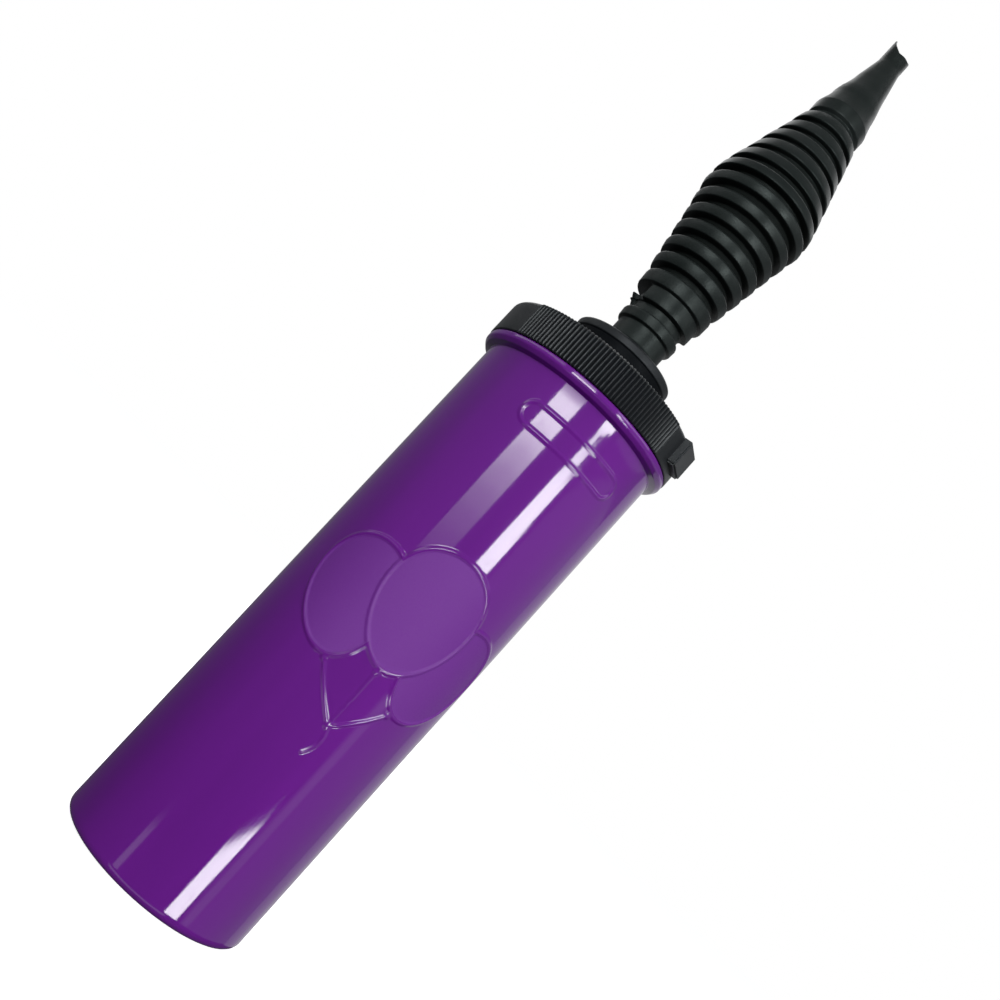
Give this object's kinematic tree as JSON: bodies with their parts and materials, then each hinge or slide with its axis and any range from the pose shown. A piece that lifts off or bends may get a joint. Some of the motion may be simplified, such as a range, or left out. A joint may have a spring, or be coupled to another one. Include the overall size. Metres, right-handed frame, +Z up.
{
  "type": "balloon hand pump",
  "caption": "Double-action balloon hand pump: gloss barrel, twist-off cap, sliding hollow rod with a two-way piston, and a ribbed nozzle.",
  "frame": {"origin": "centre of the foot ring that the barrel stands on", "axes": "+Z up the pump's axis from the barrel's foot to the nozzle's outlet; -Y is the side with the moulded relief"},
  "size_m": [0.0574, 0.0574, 0.2744],
  "materials": {
    "barrel_plastic": "gloss",
    "cap_plastic": "satin",
    "collar_plastic": "satin",
    "nozzle_plastic": "satin",
    "rod_plastic": "satin",
    "inner_plastic": "satin",
    "valve_rubber": "matte",
    "seal_rubber": "matte",
    "clip_steel": "satin",
    "screw_steel": "satin"
  },
  "bodies": {
    "barrel": {"barrel": "barrel_plastic", "base_inlet_stud": "inner_plastic"},
    "base_inlet_valve": {"base_inlet_disc": "valve_rubber"},
    "cap": {"twist_cap": "cap_plastic", "cap_gasket": "seal_rubber", "guide_bush": "inner_plastic", "rod_seal": "seal_rubber", "seal_retainer": "inner_plastic"},
    "cap_inlet_valve": {"cap_inlet_ring": "valve_rubber"},
    "piston_seal": {"piston_seal": "seal_rubber"},
    "rod": {"rod_tube": "rod_plastic", "end_collar": "collar_plastic", "piston_base": "inner_plastic", "lower_outlet_clip": "clip_steel", "piston_top": "inner_plastic", "upper_outlet_hanger": "clip_steel", "piston_screws": "screw_steel", "stop_buffer": "seal_rubber", "nozzle": "nozzle_plastic", "nozzle_o_ring": "seal_rubber"},
    "lower_outlet_valve": {"lower_outlet_disc": "valve_rubber"},
    "upper_outlet_valve": {"upper_outlet_ring": "valve_rubber"}
  },
  "joints": [
    {"name": "rod_slide", "type": "slide", "parent": "barrel", "child": "piston_seal", "axis": [0, 0, 1], "range_m": [0, 0.1138]},
    {"name": "rod_spin", "type": "hinge", "parent": "piston_seal", "child": "rod", "pos_m": [0, 0, 0.0135], "axis": [0, 0, 1], "continuous": true},
    {"name": "cap_twist", "type": "hinge", "parent": "barrel", "child": "cap", "pos_m": [0, 0, 0.149], "axis": [0, 0, 1], "range_deg": [0, 50]},
    {"name": "base_valve_lift", "type": "slide", "parent": "barrel", "child": "base_inlet_valve", "axis": [0, 0, 1], "range_m": [0, 0.0011]},
    {"name": "cap_valve_lift", "type": "slide", "parent": "cap", "child": "cap_inlet_valve", "axis": [0, 0, 1], "range_m": [0, 0.0011]},
    {"name": "lower_outlet_lift", "type": "slide", "parent": "rod", "child": "lower_outlet_valve", "axis": [0, 0, 1], "range_m": [0, 0.0011]},
    {"name": "upper_outlet_lift", "type": "slide", "parent": "rod", "child": "upper_outlet_valve", "axis": [0, 0, 1], "range_m": [0, 0.0011]}
  ]
}
